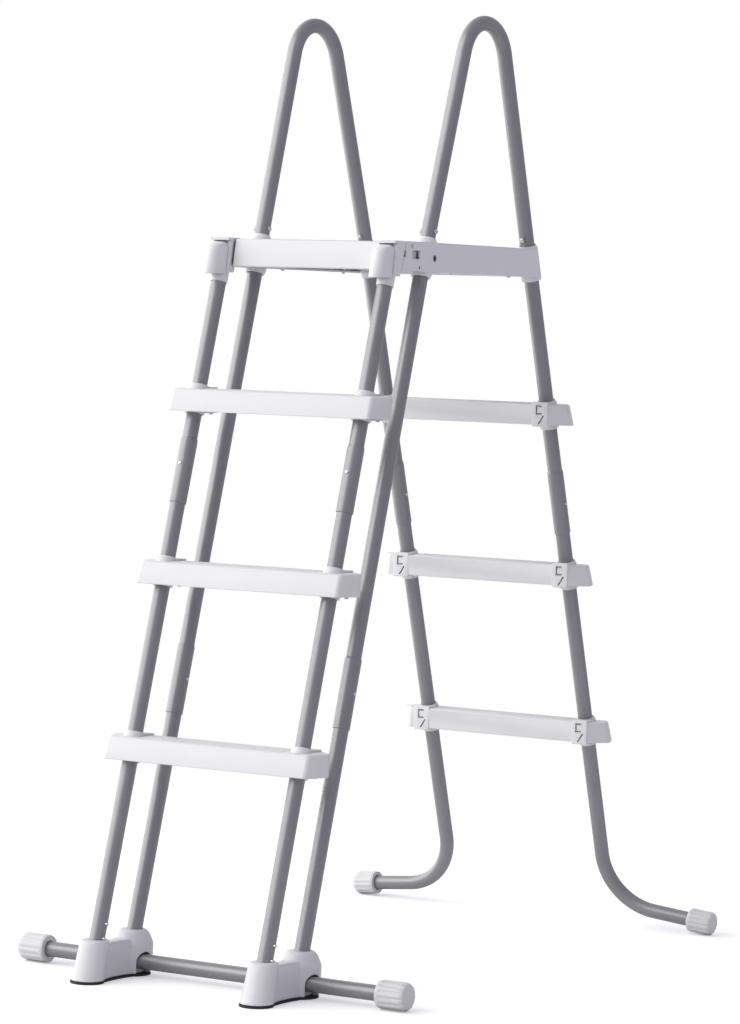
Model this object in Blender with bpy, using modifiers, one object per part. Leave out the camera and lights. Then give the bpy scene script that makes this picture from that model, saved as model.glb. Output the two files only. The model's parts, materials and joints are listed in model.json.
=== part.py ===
# Above-ground pool ladder: an A-frame with a platform, a fixed flight on the pool side and a
# flight on the garden side that lifts off. X runs along the treads, +Y points into the pool,
# Z is up, and the floor is at z = 0.
import math

import bmesh
import bpy
from mathutils import Vector

# Tubes
TUBE_R = 0.0135
BORE_R = 0.0121
SLEEVE_R = 0.0150
GAP = 0.0003
SEG = 16
SIDE_X = 0.1735  # legs, left and right of the middle
LIFT_X = 0.1725  # outer tubes of the flight that lifts off

# Lean of the legs: y on the tube's axis at height REF_Z, and how fast y grows downwards
REF_Z = 1.170
FRONT_Y = -0.1687
FRONT_LEAN = 0.277
LIFT_OFFSET = -0.111
REAR_Y = 0.2537
REAR_LEAN = 0.3163

# Handrails
RAIL_FRONT_LEAN = 0.2914
RAIL_REAR_LEAN = 0.332
RAIL_SPLAY = 0.014
RAIL_ROOT_Z = 1.2650  # where the rail's lean takes over from the leg's
RAIL_END_Z = 1.2870
RAIL_TOP_Z = 1.6770  # axis of the tube at the crown
RAIL_BOLT_Z = 1.3020

# Sleeves, where a leg's two tubes telescope
FRONT_SLEEVE = (0.445, 0.567)
LIFT_SLEEVE = (0.815, 0.930)
REAR_SLEEVE = (0.759, 0.878)

# Platform
DECK_TOP = 1.2805
DECK_LOW = 1.2315
PLATE_TOP = 1.2825
PLATE_LOW = 1.2310
PLATE_X = (0.1885, 0.1920)
DECK_HALF = 0.1835

# Treads
TREAD_H = 0.039
LIFT_TREADS = (0.415, 0.715, 1.015)
REAR_TREADS = (0.400, 0.700, 1.000)

# Base
BASE_Y = -0.4880
BASE_Z = 0.0250
BASE_HALF = 0.385
SOLE_T = 0.0035

WHITE = (0.86, 0.86, 0.87, 1)
GREY = (0.42, 0.42, 0.43, 1)
BLACK = (0.02, 0.02, 0.02, 1)
STEEL = (0.62, 0.62, 0.63, 1)


def clear_scene():
    for obj in list(bpy.data.objects):
        bpy.data.objects.remove(obj)


clear_scene()
LADDER = bpy.data.collections.new("pool_ladder")
CUTTERS = bpy.data.collections.new("cutters")
bpy.context.scene.collection.children.link(LADDER)
bpy.context.scene.collection.children.link(CUTTERS)
CUTTERS.hide_render = True


def front_y(z):
    return FRONT_Y - FRONT_LEAN * (REF_Z - z)


def lift_y(z):
    return front_y(z) + LIFT_OFFSET


def rear_y(z):
    return REAR_Y + REAR_LEAN * (REF_Z - z)


def rail_x(side, z):
    return side * (SIDE_X + RAIL_SPLAY * (z - RAIL_ROOT_Z))


def rail_point(side, z, rear):
    rise = z - RAIL_ROOT_Z
    if rear:
        return Vector((rail_x(side, z), rear_y(RAIL_ROOT_Z) - RAIL_REAR_LEAN * rise, z))
    return Vector((rail_x(side, z), front_y(RAIL_ROOT_Z) + RAIL_FRONT_LEAN * rise, z))


FRONT_AXIS = Vector((0, FRONT_LEAN, 1)).normalized()
REAR_AXIS = Vector((0, -REAR_LEAN, 1)).normalized()


def finished(name, color, rough=0.4):
    material = bpy.data.materials.new(name)
    material.use_nodes = True
    shader = material.node_tree.nodes["Principled BSDF"]
    shader.inputs["Base Color"].default_value = color
    shader.inputs["Roughness"].default_value = rough
    material.diffuse_color = color
    return material


def mesh_object(name, verts, faces, color=None):
    """A node in the ladder, or a helper body when it has no colour."""
    mesh = bpy.data.meshes.new(name)
    mesh.from_pydata([tuple(v) for v in verts], [], faces)
    work = bmesh.new()
    work.from_mesh(mesh)
    bmesh.ops.recalc_face_normals(work, faces=work.faces)
    work.to_mesh(mesh)
    work.free()
    obj = bpy.data.objects.new(name, mesh)
    if color is None:
        CUTTERS.objects.link(obj)
        obj.hide_render = True
        obj.display_type = "WIRE"
    else:
        LADDER.objects.link(obj)
        mesh.materials.append(finished(name, color))
    return obj


def loft(name, rings, color=None):
    """A solid through rings with the same number of points, closed at both ends."""
    count = len(rings[0])
    verts = [point for ring in rings for point in ring]
    faces = []
    for level in range(len(rings) - 1):
        low = level * count
        for i in range(count):
            j = (i + 1) % count
            faces.append((low + i, low + j, low + count + j, low + count + i))
    faces.append(tuple(range(count)))
    last = (len(rings) - 1) * count
    faces.append(tuple(last + i for i in reversed(range(count))))
    return mesh_object(name, verts, faces, color)


def circle(center, axis, radius, count=SEG, squash=1.0):
    axis = Vector(axis).normalized()
    side = Vector((1, 0, 0)) if abs(axis.x) < 0.9 else Vector((0, 1, 0))
    side = (side - axis * side.dot(axis)).normalized()
    other = axis.cross(side)
    ring = []
    for i in range(count):
        angle = 2 * math.pi * (i + 0.5) / count
        ring.append(Vector(center) + radius * (math.cos(angle) * side + squash * math.sin(angle) * other))
    return ring


def rod(name, start, end, radius, color=None, count=SEG, end_radius=None):
    start = Vector(start)
    end = Vector(end)
    axis = end - start
    second = radius if end_radius is None else end_radius
    return loft(name, [circle(start, axis, radius, count), circle(end, axis, second, count)], color)


def box(name, low, high, color=None):
    (x0, y0, z0), (x1, y1, z1) = low, high
    lower = [(x0, y0, z0), (x1, y0, z0), (x1, y1, z0), (x0, y1, z0)]
    upper = [(x0, y0, z1), (x1, y0, z1), (x1, y1, z1), (x0, y1, z1)]
    return loft(name, [lower, upper], color)


def boolean(obj, other, operation):
    modifier = obj.modifiers.new(other.name, "BOOLEAN")
    modifier.operation = operation
    modifier.solver = "EXACT"
    modifier.object = other


def add(obj, other):
    boolean(obj, other, "UNION")


def cut(obj, other):
    boolean(obj, other, "DIFFERENCE")


def tube(name, path, outer, inner, color):
    """An open-ended tube through the points of a path, mitred at each bend."""
    points = [Vector(p) for p in path]
    count = SEG
    frames = []
    side = None
    for i, point in enumerate(points):
        before = (point - points[i - 1]).normalized() if i else None
        after = (points[i + 1] - point).normalized() if i + 1 < len(points) else None
        direction = before or after
        heading = (before + after).normalized() if before and after else direction
        if side is None:
            guess = Vector((1, 0, 0)) if abs(direction.x) < 0.9 else Vector((0, 1, 0))
            side = (guess - direction * guess.dot(direction)).normalized()
        frames.append((point, direction, heading))
    verts = []
    base = side
    carried = frames[0][1]
    for point, direction, heading in frames:
        turn = carried.rotation_difference(direction)
        base = turn @ base
        carried = direction
        other = direction.cross(base)
        rings = []
        for radius in (outer[len(verts) // (2 * count)], inner[len(verts) // (2 * count)]):
            for i in range(count):
                angle = 2 * math.pi * i / count
                spoke = radius * (math.cos(angle) * base + math.sin(angle) * other)
                shift = -spoke.dot(heading) / direction.dot(heading)
                rings.append(point + spoke + direction * shift)
        verts.extend(rings)
    faces = []
    last = len(points) - 1
    for level in range(last):
        a = level * 2 * count
        b = a + 2 * count
        for i in range(count):
            j = (i + 1) % count
            faces.append((a + i, a + j, b + j, b + i))
            faces.append((a + count + j, a + count + i, b + count + i, b + count + j))
    for i in range(count):
        j = (i + 1) % count
        faces.append((i, count + i, count + j, j))
        top = last * 2 * count
        faces.append((top + i, top + j, top + count + j, top + count + i))
    return mesh_object(name, verts, faces, color)


def drill(obj, name, point, axis, radius, reach=0.03, back=0.0):
    """A round hole from the point along the axis; back starts it that far behind the point."""
    axis = Vector(axis).normalized()
    point = Vector(point)
    cut(obj, rod(name, point - axis * back, point + axis * reach, radius, None, 12))


# Handrails: the two legs lean together and meet in a round crown
def rail_path(side):
    start_f = rail_point(side, RAIL_END_Z, False)
    start_r = rail_point(side, RAIL_END_Z, True)
    angle_f = math.atan(RAIL_FRONT_LEAN)
    angle_r = math.atan(RAIL_REAR_LEAN)
    span = start_r.y - start_f.y
    # Radius at which an arc touching both legs has its crown at RAIL_TOP_Z
    lean = math.tan(angle_f) + math.tan(angle_r)
    rise = RAIL_TOP_Z - RAIL_END_Z
    secants = 1 / math.cos(angle_f) + 1 / math.cos(angle_r)
    radius = (span - lean * rise) / (secants - lean)
    center_z = RAIL_TOP_Z - radius
    center_y = start_f.y + RAIL_FRONT_LEAN * (center_z - RAIL_END_Z) + radius / math.cos(angle_f)
    points = [start_f]
    steps = 10
    sweep_from = math.pi - angle_f
    sweep_to = angle_r
    for i in range(steps + 1):
        angle = sweep_from + (sweep_to - sweep_from) * i / steps
        z = center_z + radius * math.sin(angle)
        y = center_y + radius * math.cos(angle)
        points.append(Vector((rail_x(side, z), y, z)))
    points.append(start_r)
    return points


def cross_bolt(name, center, axis):
    """A domed bolt through a tube, with its nut on the far side."""
    axis = Vector(axis).normalized()
    r = TUBE_R
    rings = []
    for along, radius in (
        (-(r + 0.0038), 0.0020),
        (-(r + 0.0036), 0.0034),
        (-(r + 0.0028), 0.0046),
        (-(r + 0.0006), 0.0050),
        (-(r + 0.0006), 0.0025),
        (r + 0.0006, 0.0025),
        (r + 0.0006, 0.0044),
        (r + 0.0036, 0.0044),
        (r + 0.0036, 0.0026),
        (r + 0.0052, 0.0022),
    ):
        rings.append(circle(Vector(center) - axis * along, axis, radius, 10))
    return loft(name, rings, STEEL)


for side, word in ((-1, "left"), (1, "right")):
    path = rail_path(side)
    rail = tube(f"handrail_{word}", path, [TUBE_R] * len(path), [BORE_R] * len(path), GREY)
    for rear, place in ((False, "front"), (True, "rear")):
        spot = rail_point(side, RAIL_BOLT_Z, rear)
        across = (0, -1, -RAIL_REAR_LEAN) if rear else (1, 0, 0)
        drill(rail, f"rail_{word}_{place}_hole", spot, across, 0.0028, 0.02, 0.02)
        cross_bolt(f"rail_bolt_{place}_{word}", spot, across)


# Legs: an upper tube with a widened sleeve at its lower end, and a lower tube inside it
def leg_upper(name, x, axis_y, sleeve, top, neck=None):
    low, high = sleeve
    stations = [
        (low, SLEEVE_R, TUBE_R + GAP),
        (high - 0.006, SLEEVE_R, TUBE_R + GAP),
        (high, TUBE_R, BORE_R),
    ]
    path = [Vector((x, axis_y(z), z)) for z, _, _ in stations]
    outer = [s[1] for s in stations]
    inner = [s[2] for s in stations]
    path.append(Vector((x, axis_y(top), top)))
    outer.append(TUBE_R)
    inner.append(BORE_R)
    if neck:
        # The neck follows the handrail's own lean, so the two can slide together
        for z in neck:
            path.append(rail_point(1 if x > 0 else -1, z, axis_y is rear_y))
            outer.append(BORE_R - GAP)
            inner.append(BORE_R - GAP - 0.0014)
    return tube(name, path, outer, inner, GREY)


def joint_button(name, x, y, z, axis):
    """A round stud that stands through the sleeve and the tube inside it."""
    axis = Vector(axis).normalized()
    spot = Vector((x, y, z))
    rings = []
    for along, radius in (
        (0.0060, 0.0046),
        (0.0095, 0.0046),
        (0.0095, 0.0033),
        (SLEEVE_R + 0.0008, 0.0033),
        (SLEEVE_R + 0.0018, 0.0022),
    ):
        rings.append(circle(spot + axis * along, axis, radius, 10))
    return loft(name, rings, STEEL)


def sleeve_joint(name, upper, lower, x, axis_y, z, lean, axis):
    axis = Vector(axis)
    axis = (axis - lean * axis.dot(lean)).normalized()
    spot = Vector((x, axis_y(z), z))
    drill(upper, name + "_hole_a", spot, axis, 0.0036)
    drill(lower, name + "_hole_b", spot, axis, 0.0036)
    joint_button(name, x, axis_y(z), z, axis)


def straight(name, x, axis_y, low, high):
    path = [Vector((x, axis_y(low), low)), Vector((x, axis_y(high), high))]
    return tube(name, path, [TUBE_R] * 2, [BORE_R] * 2, GREY)


J_RADIUS = 0.110
J_TURN = math.radians(84)
J_START = 0.1449  # height of the bend's start, measured along the leg
J_CAP = (0.350, 0.397)
J_CAP_R = 0.02235


def rear_plane(x, along):
    """A point in the slanting plane of the rear legs, by its distance up the slope."""
    z = along / math.sqrt(1 + REAR_LEAN * REAR_LEAN)
    return Vector((x, rear_y(z), z))


def j_bend(side, angle):
    x = SIDE_X + J_RADIUS * (1 - math.cos(angle))
    return rear_plane(side * x, J_START - J_RADIUS * math.sin(angle))


def j_straight(side, x):
    corner = SIDE_X + J_RADIUS * (1 - math.cos(J_TURN))
    along = J_START - J_RADIUS * math.sin(J_TURN) - (x - corner) / math.tan(J_TURN)
    return rear_plane(side * x, along)


for side, word in ((-1, "left"), (1, "right")):
    x = side * SIDE_X
    neck = (1.2830, 1.3250)
    upper = leg_upper(f"front_leg_upper_{word}", x, front_y, FRONT_SLEEVE, 1.2790, neck)
    drill(upper, f"front_neck_{word}", rail_point(side, RAIL_BOLT_Z, False), (1, 0, 0), 0.0028, 0.02, 0.02)
    lower = straight(f"front_leg_lower_{word}", x, front_y, 0.0475, FRONT_SLEEVE[1] - 0.010)
    sleeve_joint(f"front_leg_button_{word}", upper, lower, x, front_y, 0.506, FRONT_AXIS, (1, 0, 0))

    upper = leg_upper(f"rear_leg_upper_{word}", x, rear_y, REAR_SLEEVE, 1.2790, neck)
    drill(upper, f"rear_neck_{word}", rail_point(side, RAIL_BOLT_Z, True), (0, -1, -RAIL_REAR_LEAN), 0.0028, 0.02, 0.02)
    path = [rear_plane(x, (REAR_SLEEVE[1] - 0.010) * math.sqrt(1 + REAR_LEAN * REAR_LEAN))]
    for i in range(9):
        path.append(j_bend(side, J_TURN * i / 8))
    path.append(j_straight(side, J_CAP[1] - 0.010))
    lower = tube(f"rear_leg_lower_{word}", path, [TUBE_R] * len(path), [BORE_R] * len(path), GREY)
    sleeve_joint(f"rear_leg_button_{word}", upper, lower, x, rear_y, 0.8146, REAR_AXIS, (1, 0, 0))

    x = side * LIFT_X
    upper = leg_upper(f"lift_leg_upper_{word}", x, lift_y, LIFT_SLEEVE, 1.2580)
    lower = straight(f"lift_leg_lower_{word}", x, lift_y, 0.0170, LIFT_SLEEVE[1] - 0.010)
    sleeve_joint(f"lift_leg_button_{word}", upper, lower, x, lift_y, 0.8815, FRONT_AXIS, (0, -1, 0))


# Treads: a drafted shell, open beneath, with a sleeve round each leg
TREAD_TOP_PLAN = ((0.205, 0.031), (0.2235, -0.010), (0.193, -0.036))
TREAD_LOW_PLAN = ((0.207, 0.034), (0.2265, -0.012), (0.196, -0.047))


def plan_ring(plan, y, toward, z, inset=0.0):
    """The tread's outline at one height; toward is the climber's side in Y."""
    (xa, da), (xb, db), (xc, dc) = plan
    pts = [(xa - inset * 0.6, da - inset), (xb - inset, db), (xc - inset * 0.6, dc + inset)]
    ring = [Vector((px, y + toward * d, z)) for px, d in pts]
    return ring + [Vector((-p.x, p.y, p.z)) for p in reversed(ring)]


def tread(name, top, axis_y, leg_x, toward, lean):
    low = top - TREAD_H
    shell = loft(
        name,
        [plan_ring(TREAD_LOW_PLAN, axis_y(low), toward, low), plan_ring(TREAD_TOP_PLAN, axis_y(top), toward, top)],
        WHITE,
    )
    bevel = shell.modifiers.new("edges", "BEVEL")
    bevel.width = 0.0022
    bevel.segments = 1
    bevel.limit_method = "ANGLE"
    bevel.angle_limit = math.radians(40)
    hollow = loft(
        name + "_hollow",
        [
            plan_ring(TREAD_LOW_PLAN, axis_y(low), toward, low - 0.001, 0.0028),
            plan_ring(TREAD_TOP_PLAN, axis_y(top), toward, top - 0.0030, 0.0028),
        ],
    )
    cut(shell, hollow)
    for i, d in enumerate((0.016, 0.0, -0.016)):
        y = axis_y(top) + toward * d
        bar = box(f"{name}_grip_{i}", (-0.148, y - 0.002, top - 0.001), (0.148, y + 0.002, top + 0.0010))
        add(shell, bar)
    for i, x in enumerate((-0.084, 0.0, 0.084)):
        rings = []
        for z in (low + 0.010, top - 0.002):
            ys = (axis_y(z) - toward * 0.0345, axis_y(z) + toward * 0.0295)
            rings.append([Vector((x + a * 0.0011, ys[b], z)) for a, b in ((-1, 0), (1, 0), (1, 1), (-1, 1))])
        add(shell, loft(f"{name}_web_{i}", rings))
    axis = lean
    for side, word in ((-1, "left"), (1, "right")):
        x = side * leg_x
        rings = []
        for z, radius in (
            (low - 0.0050, 0.0172),
            (low + 0.0020, 0.0190),
            (top + 0.0005, 0.0190),
            (top + 0.0062, 0.0160),
        ):
            rings.append(circle((x, axis_y(z), z), axis, radius, SEG))
        add(shell, loft(f"{name}_sleeve_{word}", rings))
        y = axis_y(low + 0.018)
        back = -toward
        shift = 0.0060 if toward > 0 else 0.0
        pad_y = y + back * 0.0425
        pad = box(
            f"{name}_pad_{word}",
            (x - 0.0165 + shift, min(y + back * 0.012, pad_y), low - 0.0035),
            (x + 0.0165 + shift, max(y + back * 0.012, pad_y), top + 0.0030),
        )
        add(shell, pad)
        slots = (
            ((-0.0080, 0.020), (-0.0050, 0.035)),
            ((-0.0080, 0.019), (0.0045, 0.022)),
            ((-0.0080, 0.033), (0.0045, 0.036)),
        )
        for i, ((x0, z0), (x1, z1)) in enumerate(slots):
            slot = box(
                f"{name}_slot_{word}_{i}",
                (x + shift + x0, min(pad_y + back * 0.002, pad_y - back * 0.0035), low + z0),
                (x + shift + x1, max(pad_y + back * 0.002, pad_y - back * 0.0035), low + z1),
            )
            cut(shell, slot)
        near = pad_y - back * 0.0035
        far = pad_y + back * 0.002
        slash = [
            [Vector((x + shift + px, yy, low + pz)) for px, pz in ((-0.0036, 0.001), (-0.0002, 0.001), (0.0098, 0.017), (0.0064, 0.017))]
            for yy in (near, far)
        ]
        cut(shell, loft(f"{name}_slash_{word}", slash))
        peg_y = axis_y(low) - toward * 0.024
        add(shell, rod(f"{name}_peg_{word}", (x + 0.0185, peg_y, low + 0.006), (x + 0.0185, peg_y, low - 0.0055), 0.0036, None, 10))
        start = Vector((x, axis_y(low - 0.03), low - 0.03))
        cut(shell, rod(f"{name}_bore_{word}", start, start + axis * 0.12, TUBE_R + GAP, None, SEG))
    return shell


for i, top in enumerate(LIFT_TREADS):
    tread(f"lift_tread_{i + 1}", top, lift_y, LIFT_X, -1, FRONT_AXIS)
for i, top in enumerate(REAR_TREADS):
    tread(f"rear_tread_{i + 1}", top, rear_y, SIDE_X, 1, REAR_AXIS)


# Platform
def deck_ring(z, inset):
    """The deck's outline, with bays round the four leg hubs; its ends slant with the legs."""
    nose = -0.2540 - 0.17 * (DECK_TOP - z) + inset
    front = -0.2165 - FRONT_LEAN * (DECK_TOP - z) + inset
    rear = 0.2300 + REAR_LEAN * (DECK_TOP - z) - inset
    wide = DECK_HALF - inset
    slim = 0.1520 - inset
    half = [
        (slim - 0.0010, nose),
        (slim - 0.0010, front),
        (wide, front),
        (wide, -0.1745 - inset),
        (slim, -0.1745 - inset),
        (slim, -0.1150 + inset),
        (wide, -0.1150 + inset),
        (wide, 0.1970 - inset),
        (slim, 0.1970 - inset),
        (slim, rear),
    ]
    ring = [Vector((x, y, z)) for x, y in half]
    return ring + [Vector((-p.x, p.y, p.z)) for p in reversed(ring)]


deck = loft("platform_deck", [deck_ring(DECK_LOW, 0), deck_ring(DECK_TOP, 0)], WHITE)
edge = deck.modifiers.new("edges", "BEVEL")
edge.width = 0.0025
edge.segments = 1
edge.limit_method = "ANGLE"
edge.angle_limit = math.radians(40)
cut(deck, loft("deck_hollow", [deck_ring(DECK_LOW - 0.001, 0.003), deck_ring(DECK_TOP - 0.0035, 0.003)]))
for i in range(8):
    y = -0.216 + 0.0580 * i
    half = 0.136
    add(deck, box(f"deck_grip_{i}", (-half, y - 0.0035, DECK_TOP - 0.001), (half, y + 0.0035, DECK_TOP + 0.0014)))
for i, x in enumerate((-0.10, 0.0, 0.10)):
    add(deck, box(f"deck_beam_{i}", (x - 0.0013, -0.2520, 1.2450), (x + 0.0013, 0.2285, DECK_TOP - 0.002)))
for i, y in enumerate((-0.09, 0.04, 0.17)):
    add(deck, box(f"deck_cross_{i}", (-0.181, y - 0.0013, 1.2450), (0.181, y + 0.0013, DECK_TOP - 0.002)))
SCREWS = (-0.060, 0.145)
for side, word in ((-1, "left"), (1, "right")):
    low_x, high_x = sorted((side * 0.166, side * 0.186))
    cut(deck, box(f"deck_rebate_{word}", (low_x, -0.1145, 1.2300), (high_x, 0.1975, 1.2346)))
    for i, y in enumerate(SCREWS):
        x = side * 0.1770
        add(deck, rod(f"deck_boss_{word}_{i}", (x, y, 1.2346), (x, y, DECK_TOP - 0.002), 0.0052, None, 14))
        cut(deck, rod(f"deck_pilot_{word}_{i}", (x, y, 1.2300), (x, y, 1.2640), 0.0024, None, 12))


def hook_y(z):
    """Where a hook cap meets the front of its side plate: a face along the lift's own direction."""
    return -0.2425 + FRONT_LEAN * (z - 1.2515)


def flat_plate(name, outline, x0, x1, color=None):
    return loft(name, [[Vector((x, y, z)) for y, z in outline] for x in (x0, x1)], color)


def hub_rings(x, axis_y, axis, profile):
    return [circle((x, axis_y(z), z), axis, r, 20) for z, r in profile]


for side, word in ((-1, "left"), (1, "right")):
    x_in, x_out = side * PLATE_X[0], side * PLATE_X[1]
    outline = [
        (hook_y(PLATE_LOW) + 0.0005, PLATE_LOW),
        (rear_y(PLATE_LOW) + 0.007, PLATE_LOW),
        (rear_y(PLATE_TOP) + 0.007, PLATE_TOP),
        (hook_y(PLATE_TOP) + 0.0005, PLATE_TOP),
    ]
    plate = flat_plate(f"side_plate_{word}", outline, x_in, x_out, WHITE)
    bevel = plate.modifiers.new("edges", "BEVEL")
    bevel.width = 0.0012
    bevel.segments = 1
    bevel.limit_method = "ANGLE"
    bevel.angle_limit = math.radians(40)
    x = side * SIDE_X
    front_hub = ((1.2215, 0.0172), (1.2300, 0.0192), (1.2830, 0.0192), (1.2895, 0.0160))
    rear_hub = ((1.2265, 0.0180), (1.2320, 0.0186), (1.2830, 0.0186), (1.2890, 0.0160))
    add(plate, loft(f"hub_front_{word}", hub_rings(x, front_y, FRONT_AXIS, front_hub)))
    add(plate, loft(f"hub_rear_{word}", hub_rings(x, rear_y, REAR_AXIS, rear_hub)))
    inner = side * 0.170
    lip = sorted((inner, side * 0.190))
    add(plate, box(f"plate_flange_{word}", (lip[0], -0.1140, PLATE_LOW), (lip[1], 0.1955, 1.2342)))
    for i, y in enumerate((-0.178, -0.020, 0.080)):
        rib = sorted((side * 0.1862, side * 0.190))
        add(plate, box(f"plate_rib_{word}_{i}", (rib[0], y - 0.0012, 1.2320), (rib[1], y + 0.0012, 1.2800)))
    ledge = sorted((side * 0.1640, side * 0.1900))
    add(plate, box(f"hook_ledge_{word}", (ledge[0], -0.2370, 1.2400), (ledge[1], -0.2330, 1.2627)))
    window = sorted((side * 0.1800, side * 0.1960))
    cut(plate, box(f"plate_window_{word}", (window[0], -0.2140, 1.2528), (window[1], -0.1885, 1.2668)))
    cut(plate, box(f"plate_slit_{word}", (window[0], -0.2440, 1.2550), (window[1], -0.2352, 1.2660)))
    behind = sorted((side * 0.1760, side * 0.1860))
    cut(deck, box(f"deck_window_{word}", (behind[0], -0.2130, 1.2534), (behind[1], -0.1895, 1.2662)))
    for i, (y, z, r) in enumerate(((-0.2149, 1.2740, 0.0036), (-0.1888, 1.2376, 0.0027))):
        cut(plate, rod(f"plate_hole_{word}_{i}", (window[0], y, z), (window[1], y, z), r, None, 12))
    for i, y in enumerate(SCREWS):
        sx = side * 0.1770
        cut(plate, rod(f"flange_hole_{word}_{i}", (sx, y, 1.2280), (sx, y, 1.2360), 0.0024, None, 12))
    for label, axis_y, axis, z0 in (("front", front_y, FRONT_AXIS, 1.20), ("rear", rear_y, REAR_AXIS, 1.20)):
        start = Vector((x, axis_y(z0), z0))
        cut(plate, rod(f"hub_bore_{label}_{word}", start, start + axis * 0.14, TUBE_R + GAP, None, SEG))
        seat = rail_point(side, 1.2800, label == "rear")
        mouth = rail_point(side, 1.3050, label == "rear")
        cut(plate, rod(f"rail_seat_{label}_{word}", seat, mouth, TUBE_R + 0.0008, None, SEG))

    # The bolt that fixes the front leg in its hub sits in a recess of the hub
    z = 1.2552
    spot = Vector((x, front_y(z) + 0.0065, z))
    out = Vector((side, 0, 0))
    drill(plate, f"hub_recess_{word}", spot + out * 0.0150, out, 0.0060, 0.012)
    drill(plate, f"hub_hole_{word}", spot, out, 0.0026, 0.030)
    leg = bpy.data.objects[f"front_leg_upper_{word}"]
    drill(leg, f"hub_leg_hole_{word}", spot, out, 0.0026, 0.020)
    rings = []
    for along, radius in ((0.0060, 0.0023), (0.0155, 0.0023), (0.0155, 0.0042), (0.0168, 0.0042), (0.0174, 0.0030)):
        rings.append(circle(spot + out * along, out, radius, 12))
    loft(f"hub_screw_{word}", rings, BLACK)

    for i, y in enumerate(SCREWS):
        sx = side * 0.1770
        rings = []
        for z, radius in ((1.2282, 0.0028), (1.2290, 0.0040), (1.2307, 0.0040), (1.2307, 0.0021), (1.2560, 0.0021)):
            rings.append(circle((sx, y, z), (0, 0, 1), radius, 12))
        loft(f"deck_screw_{'front' if i == 0 else 'rear'}_{word}", rings, STEEL)


# Hook caps on the flight that lifts off
def stadium(x, y_rear, y_nose, radius, z, count=10):
    ring = []
    for i in range(count + 1):
        angle = math.pi * i / count
        ring.append(Vector((x + radius * math.cos(angle), y_rear + radius * math.sin(angle), z)))
    for i in range(count + 1):
        angle = math.pi + math.pi * i / count
        ring.append(Vector((x + radius * math.cos(angle), y_nose + radius * math.sin(angle), z)))
    return ring


for side, word in ((-1, "left"), (1, "right")):
    x = side * LIFT_X
    x_in, x_out = side * 0.1530, side * 0.1920
    rings = []
    for z in (1.2208, PLATE_TOP):
        face = -0.2722 + 0.145 * (z - 1.2210)
        rings.append([Vector((px, py, z)) for px, py in ((x_in, face), (x_out, face), (x_out, hook_y(z)), (x_in, hook_y(z)))])
    cap = loft(f"hook_cap_{word}", rings, WHITE)
    bevel = cap.modifiers.new("edges", "BEVEL")
    bevel.width = 0.0016
    bevel.segments = 1
    bevel.limit_method = "ANGLE"
    bevel.angle_limit = math.radians(40)
    rings = []
    for z, nose, radius in (
        (1.2180, -0.2960, 0.0150),
        (1.2240, -0.2945, 0.0154),
        (1.2600, -0.2860, 0.0154),
        (1.2675, -0.2830, 0.0150),
        (1.2720, -0.2770, 0.0130),
        (1.2745, -0.2700, 0.0100),
    ):
        rings.append(stadium(x, -0.2600 + FRONT_LEAN * min(z - 1.2600, 0.0), nose, radius, z))
    add(cap, loft(f"cap_nose_{word}", rings))
    lip = sorted((side * 0.1530, side * 0.1915))
    add(cap, box(f"cap_lip_{word}", (lip[0], -0.2710, 1.2775), (lip[1], -0.2600, 1.2820)))
    add(cap, rod(f"cap_collar_{word}", (x, lift_y(1.2030), 1.2030), (x, lift_y(1.2260), 1.2260), 0.0152, None, SEG))
    add(cap, box(f"cap_tongue_{word}", (x - 0.0060, -0.2450, 1.2630), (x + 0.0060, -0.2265, 1.2695)))
    add(cap, box(f"cap_hook_{word}", (x - 0.0060, -0.2315, 1.2500), (x + 0.0060, -0.2265, 1.2650)))
    start = Vector((x, lift_y(1.19), 1.19))
    reach = (1.2600 - 1.19) / FRONT_AXIS.z
    cut(cap, rod(f"cap_bore_{word}", start, start + FRONT_AXIS * reach, TUBE_R + GAP, None, SEG))


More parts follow.
